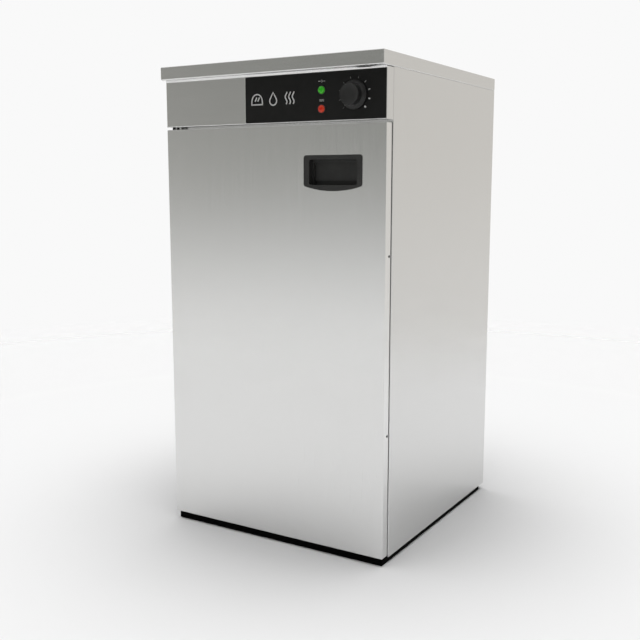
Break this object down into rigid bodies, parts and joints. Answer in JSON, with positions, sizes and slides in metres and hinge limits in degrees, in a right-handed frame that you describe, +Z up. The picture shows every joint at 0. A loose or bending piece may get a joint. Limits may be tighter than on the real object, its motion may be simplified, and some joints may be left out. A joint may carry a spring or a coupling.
{
  "type": "proofing cabinet",
  "caption": "Insulated stainless heated cabinet with a swing door, recessed grip, thermostat knob, pilot lamps, wire shelves and a water pan.",
  "frame": {"origin": "on the floor under the centre of the bounding box", "axes": "+X to the cabinet's right as seen from the front, +Y to the back, +Z up"},
  "size_m": [0.45, 0.502, 0.85],
  "materials": {
    "brushed_stainless": "satin, fine brushed grain",
    "bright_stainless": "smooth mill-finish stainless sheet",
    "galvanised_sheet": "dull galvanised sheet",
    "black_base": "matt black",
    "shelf_wire": "electropolished wire",
    "mineral_wool": "yellow-grey fibre slab",
    "panel_black": "satin black printed panel",
    "panel_print": "light grey screen print on the control panel",
    "knob_black": "satin black",
    "grip_black": "fine-textured black",
    "foot_black": "matt black",
    "lens_green": "translucent green",
    "lens_red": "translucent orange-red",
    "control_plastic": "moulded black",
    "terminal_plastic": "moulded off-white",
    "copper_capillary": "drawn copper tube",
    "element_sheath": "dark oxidised sheath",
    "fixings": "zinc plated",
    "black_fixings": "black zinc",
    "magnet": "ferrite in a steel cup",
    "hinge_nylon": "black nylon",
    "gasket_silicone": "soft black silicone",
    "gland_nylon": "black nylon"
  },
  "bodies": {
    "cabinet": {"back_panel": "galvanised_sheet", "back_screws": "fixings", "base_pan": "black_base", "bay_tray": "galvanised_sheet", "cable_gland": "gland_nylon", "control_panel": "panel_black", "element_clips": "fixings", "element_guard": "bright_stainless", "fascia": "brushed_stainless", "foot_nuts": "fixings", "front_bottom_rail": "brushed_stainless", "front_top_rail": "brushed_stainless", "green_lamp_lens": "lens_green", "heating_element": "element_sheath", "hinge_bottom": "black_fixings", "hinge_top": "black_fixings", "insulation_back": "mineral_wool", "insulation_floor": "mineral_wool", "insulation_left": "mineral_wool", "insulation_right": "mineral_wool", "insulation_roof": "mineral_wool", "lamp_holders": "control_plastic", "left_rack": "bright_stainless", "left_side_panel": "brushed_stainless", "liner_back": "bright_stainless", "liner_floor": "bright_stainless", "liner_left": "bright_stainless", "liner_right": "bright_stainless", "liner_roof": "bright_stainless", "magnet_catch": "magnet", "plinth": "black_base", "red_lamp_lens": "lens_red", "right_rack": "bright_stainless", "right_side_panel": "brushed_stainless", "terminal_block": "terminal_plastic", "thermostat": "control_plastic", "thermostat_probe": "copper_capillary", "worktop": "brushed_stainless"},
    "door": {"door_skin": "brushed_stainless", "door_inner_panel": "bright_stainless", "door_insulation": "mineral_wool", "door_gasket": "gasket_silicone", "door_grip": "grip_black", "hinge_blocks": "hinge_nylon", "hinge_block_screws": "black_fixings", "door_edge_screws": "black_fixings", "door_panel_screws": "fixings", "catch_keeper": "fixings"},
    "thermostat_knob": {"knob": "knob_black", "knob_spindle": "fixings"},
    "wire_shelf_1": {"shelf_1": "shelf_wire"},
    "wire_shelf_2": {"shelf_2": "shelf_wire"},
    "wire_shelf_3": {"shelf_3": "shelf_wire"},
    "water_tray": {"water_pan": "bright_stainless"},
    "levelling_foot_front_left": {"foot_front_left": "foot_black"},
    "levelling_foot_front_right": {"foot_front_right": "foot_black"},
    "levelling_foot_rear_left": {"foot_rear_left": "foot_black"},
    "levelling_foot_rear_right": {"foot_rear_right": "foot_black"}
  },
  "joints": [
    {"name": "door_swing", "type": "hinge", "parent": "cabinet", "child": "door", "pos_m": [-0.216, -0.22205, 0.4], "axis": [0, 0, -1], "range_deg": [0, 105]},
    {"name": "thermostat_turn", "type": "hinge", "parent": "cabinet", "child": "thermostat_knob", "pos_m": [0.1656, 0, 0.7847], "axis": [0, 1, 0], "range_deg": [0, 270]},
    {"name": "shelf_1_slide", "type": "slide", "parent": "cabinet", "child": "wire_shelf_1", "axis": [0, -1, 0], "range_m": [0, 0.025]},
    {"name": "shelf_2_slide", "type": "slide", "parent": "cabinet", "child": "wire_shelf_2", "axis": [0, -1, 0], "range_m": [0, 0.025]},
    {"name": "shelf_3_slide", "type": "slide", "parent": "cabinet", "child": "wire_shelf_3", "axis": [0, -1, 0], "range_m": [0, 0.025]},
    {"name": "water_pan_slide", "type": "slide", "parent": "cabinet", "child": "water_tray", "axis": [0, -1, 0], "range_m": [0, 0.06]},
    {"name": "foot_front_left_screw", "type": "slide", "parent": "cabinet", "child": "levelling_foot_front_left", "axis": [0, 0, -1], "range_m": [0, 0.01]},
    {"name": "foot_front_right_screw", "type": "slide", "parent": "cabinet", "child": "levelling_foot_front_right", "axis": [0, 0, -1], "range_m": [0, 0.01]},
    {"name": "foot_rear_left_screw", "type": "slide", "parent": "cabinet", "child": "levelling_foot_rear_left", "axis": [0, 0, -1], "range_m": [0, 0.01]},
    {"name": "foot_rear_right_screw", "type": "slide", "parent": "cabinet", "child": "levelling_foot_rear_right", "axis": [0, 0, -1], "range_m": [0, 0.01]}
  ]
}
